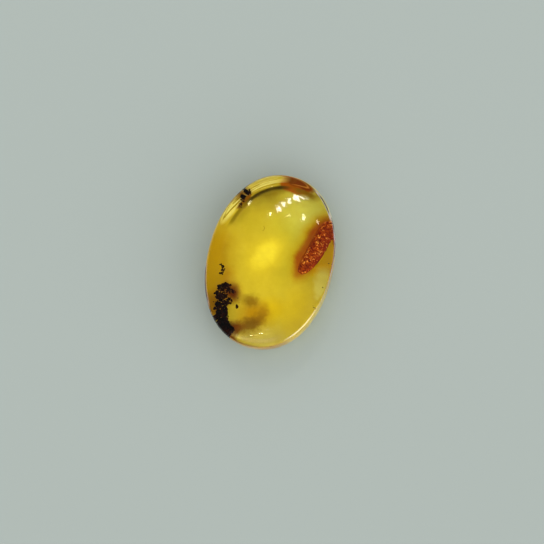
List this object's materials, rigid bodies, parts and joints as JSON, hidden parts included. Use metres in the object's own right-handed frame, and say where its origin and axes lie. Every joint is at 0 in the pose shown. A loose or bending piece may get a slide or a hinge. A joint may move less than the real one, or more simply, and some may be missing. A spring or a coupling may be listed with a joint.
{
  "type": "amber cabochon",
  "caption": "Oval cabochon of clear honey-yellow amber with a flat back, holding sealed plant debris and an orange bark flake.",
  "frame": {"origin": "centre of the flat back", "axes": "+Z out of the crown face, +Y along the long axis, +X along the short axis"},
  "size_m": [0.0142, 0.02, 0.006],
  "materials": {
    "amber": "polished",
    "bark": "crackled",
    "debris": "granular"
  },
  "bodies": {
    "root": {"amber_upper": "amber", "amber_lower": "amber", "bark_flake": "bark", "debris_patch": "debris", "debris_crumbs": "debris", "rim_crumbs": "debris", "lone_crumb": "debris"}
  },
  "joints": []
}
